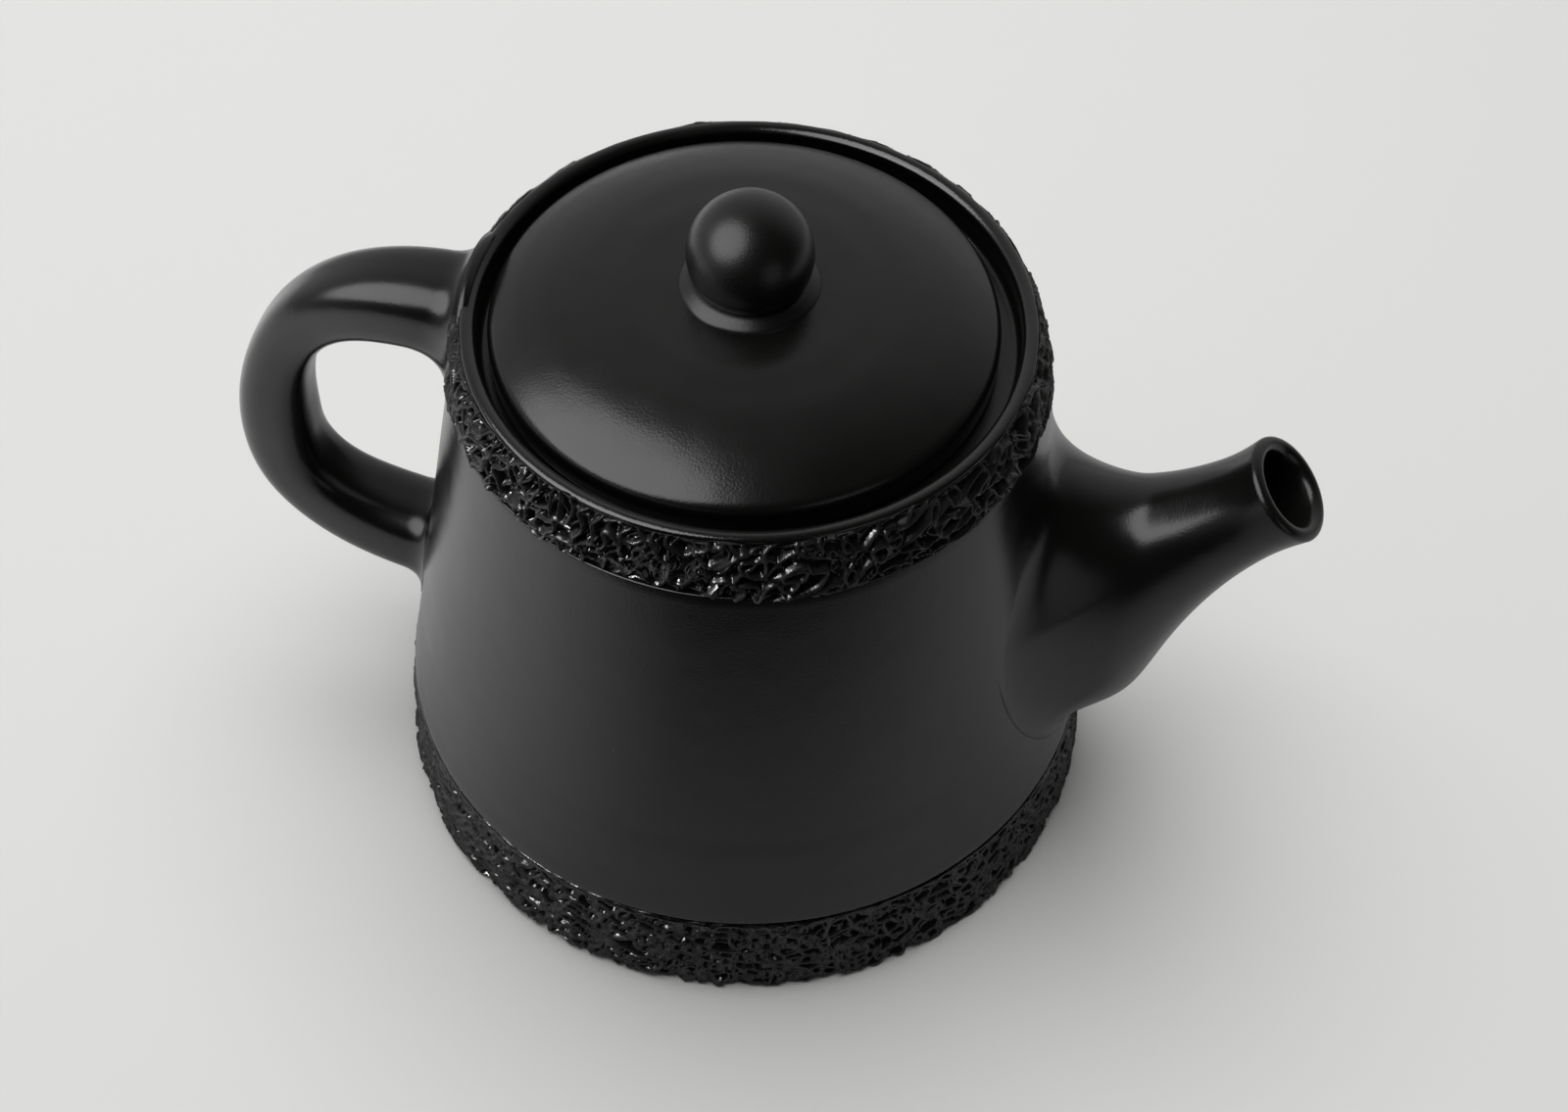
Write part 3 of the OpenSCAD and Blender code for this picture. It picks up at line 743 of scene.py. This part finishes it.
def makeCollar(p):
    # Skirt of clay smeared down from the ball to the lid: a rounded slope from its foot up to
    # the seat, whose radius wanders by collarWander round the knob.
    low, high = nodeBox("knob_collar")
    z0, z1 = low[2] - 0.6, high[2] + p["collarRise"]
    corners = [(2, z0, 0), (p["collarFoot"], z0, 0.1), (p["collarFoot"] - 0.3, low[2] + 0.3, 0.5),
               (p["seatRadius"] + 1.0, z1 - 0.3, 1.2), (p["seatRadius"] - 0.4, z1, 0.5), (2, z1, 0)]
    grid = revolve(roundPath(corners, 0.3), p["collarColumns"])
    radius = np.hypot(grid[..., 0], grid[..., 1])
    wander = p["collarWander"] * wave(41, 8, grid[..., 0] / 4, grid[..., 1] / 4, grid[..., 2])
    grid[..., :2] *= (1 + wander * np.clip(radius - 9, 0, 1) / radius)[..., None]
    return gridObject("knob_collar_roll", grid, (0, 0, z0), (0, 0, z1))


knobPiece = makeKnob(knob)
settle(knobPiece, "lid", "knob_glaze", knobGlaze, "knob")
collarPiece = makeCollar(knob)
settle(collarPiece, "lid", "knob_glaze", knobGlaze, "knob_collar")


# floor and light
# the mirrored paper's front grey, back grey and left lift are painted shade and painted light for
# the glaze to mirror
studio = dict(floorColour="#dddddb", paperRoughness=0.9, halfSize=3000.0, paperHeight=0.3,
              frontEdge=219.0, frontFade=125.0, frontPaintedShade=0.16, paperPaintedShade=0.46,
              leftPaintedLight=0.60, leftFrom=50.0, leftTo=220.0,
              worldDim=0.02, worldBack=0.61, worldLeft=0.36)
keyLight = dict(direction=(-0.60, -0.28, 0.74), distance=1000.0, size=1250.0, power=12.5,
                diffuse=False, leaveOut=(upperBand, lowerBand))
sparkLight = dict(direction=(-0.60, -0.28, 0.74), distance=1000.0, size=190.0, power=4.0,
                  diffuse=False, only=(upperBand, lowerBand, potBody))
floorLight = dict(direction=(-0.10, 0.20, 0.97), distance=1400.0, size=1700.0, power=25.0,
                  glossy=False)
sideFill = dict(direction=(0.62, -0.78, 0.06), distance=1200.0, size=700.0, power=0.4,
                diffuse=False)


def flat(name, height, corners, material):
    # one level sheet of the studio through four corners (x, y)
    mesh = bpy.data.meshes.new(name)
    mesh.from_pydata([(x, y, height * mm) for x, y in corners], [], [(0, 1, 2, 3)])
    mesh.materials.append(material)
    sheet = bpy.data.objects.new(name, mesh)
    bpy.context.scene.collection.objects.link(sheet)
    return sheet


def makeFloor(s, azimuth):
    # A pale floor, and the paper that the glaze mirrors, which ends in front of the pot so
    # that the lid, knob and shoulder have something dark to mirror. The paper's grey is painted
    # shade and painted light on what the glaze mirrors.
    material, tree = newMaterial("matte_paper_floor")
    surface = addNode(tree, "ShaderNodeBsdfPrincipled",
                      {"Base Color": hexColour(s["floorColour"]),
                       "Roughness": s["paperRoughness"]})
    addNode(tree, "ShaderNodeOutputMaterial", {"Surface": surface.outputs[0]})
    r = s["halfSize"] * mm
    floor = flat("floor", 0.0, [(-r, -r), (r, -r), (r, r), (-r, r)], material)
    floor.visible_glossy = False
    a = math.radians(azimuth)
    right, away = np.array([math.cos(a), math.sin(a)]), np.array([-math.sin(a), math.cos(a)])
    front = -s["frontEdge"] * mm
    # its grey, painted shade and painted light for the glaze to mirror, rises from darkest at the
    # front edge to a middle grey behind, and grows lighter to the left
    grey, tree = newMaterial("painted_shade_paper")
    place = addNode(tree, "ShaderNodeTexCoord").outputs["Object"]
    toBack = addNode(tree, "ShaderNodeVectorMath", {0: place, 1: (*away, 0)},
                     operation="DOT_PRODUCT")
    toLeft = addNode(tree, "ShaderNodeVectorMath", {0: place, 1: (*-right, 0)},
                     operation="DOT_PRODUCT")
    rise = addNode(tree, "ShaderNodeMapRange",
                   {"Value": toBack.outputs["Value"], "From Min": front,
                    "From Max": front + s["frontFade"] * mm, "To Min": s["frontPaintedShade"],
                    "To Max": s["paperPaintedShade"]})
    lift = addNode(tree, "ShaderNodeMapRange",
                   {"Value": toLeft.outputs["Value"], "From Min": s["leftFrom"] * mm,
                    "From Max": s["leftTo"] * mm, "To Max": s["leftPaintedLight"]})
    shade = addNode(tree, "ShaderNodeMath", {0: rise.outputs[0], 1: lift.outputs[0]})
    surface = addNode(tree, "ShaderNodeBsdfPrincipled",
                      {"Base Color": shade.outputs[0], "Roughness": s["paperRoughness"]})
    addNode(tree, "ShaderNodeOutputMaterial", {"Surface": surface.outputs[0]})
    corners = [x * right + y * away for x, y in ((-r, front), (r, front), (r, r), (-r, r))]
    paper = flat("painted_reflection_paper", s["paperHeight"], corners, grey)
    paper.visible_camera = paper.visible_diffuse = paper.visible_shadow = False


def softbox(name, b, azimuth):
    # direction is in the camera's level frame (right, away, up), turned by the camera's azimuth
    a = math.radians(azimuth)
    x, y, z = b["direction"]
    d = Vector((x * math.cos(a) - y * math.sin(a), x * math.sin(a) + y * math.cos(a), z))
    d.normalize()
    data = bpy.data.lights.new(name, "AREA")
    data.shape, data.size, data.energy = "DISK", b["size"] * mm, b["power"]
    lamp = bpy.data.objects.new(name, data)
    lamp.location = (d * b["distance"] + Vector((0, 0, 80))) * mm
    lamp.rotation_mode = "QUATERNION"
    lamp.rotation_quaternion = (-d).to_track_quat("-Z", "Y")
    lamp.visible_diffuse = b.get("diffuse", True)
    lamp.visible_glossy = b.get("glossy", True)
    bpy.context.scene.collection.objects.link(lamp)
    named = b.get("only", ()) + b.get("leaveOut", ())
    if named:
        lit = bpy.data.collections.new(name + "_lights")
        lamp.light_linking.receiver_collection = lit
        for piece in named:
            lit.objects.link(piece)
        for linked in lit.collection_objects:
            linked.light_linking.link_state = "INCLUDE" if "only" in b else "EXCLUDE"


def makeWorld(s, azimuth):
    # A dim room with a bright wall behind and to the left: strength is
    # dim + back x ramp(away) + left x ramp(-right), for a direction's share of each axis.
    world = bpy.data.worlds.new("studio")
    world.use_nodes = True
    bpy.context.scene.world = world
    tree = world.node_tree
    tree.nodes.clear()
    a = math.radians(azimuth)
    place = addNode(tree, "ShaderNodeTexCoord").outputs["Generated"]
    total = None
    for axis, low, high, gain in (((-math.sin(a), math.cos(a), 0), -0.1, 1.0, s["worldBack"]),
                                  ((-math.cos(a), -math.sin(a), 0), 0.45, 0.95, s["worldLeft"])):
        share = addNode(tree, "ShaderNodeVectorMath", {0: place, 1: axis}, operation="DOT_PRODUCT")
        ramp = addNode(tree, "ShaderNodeMapRange",
                       {"Value": share.outputs["Value"], "From Min": low, "From Max": high,
                        "To Max": gain}, interpolation_type="SMOOTHSTEP")
        before = s["worldDim"] if total is None else total.outputs[0]
        total = addNode(tree, "ShaderNodeMath", {0: ramp.outputs[0], 1: before})
    back = addNode(tree, "ShaderNodeBackground", {"Strength": total.outputs[0]})
    addNode(tree, "ShaderNodeOutputWorld", {"Surface": back.outputs[0]})
    bpy.context.scene.view_settings.view_transform = "Standard"


makeFloor(studio, view["azimuth"])
makeWorld(studio, view["azimuth"])
softbox("key", keyLight, view["azimuth"])
softbox("spark", sparkLight, view["azimuth"])
softbox("floor_light", floorLight, view["azimuth"])
softbox("side_fill", sideFill, view["azimuth"])
print("studio lit")
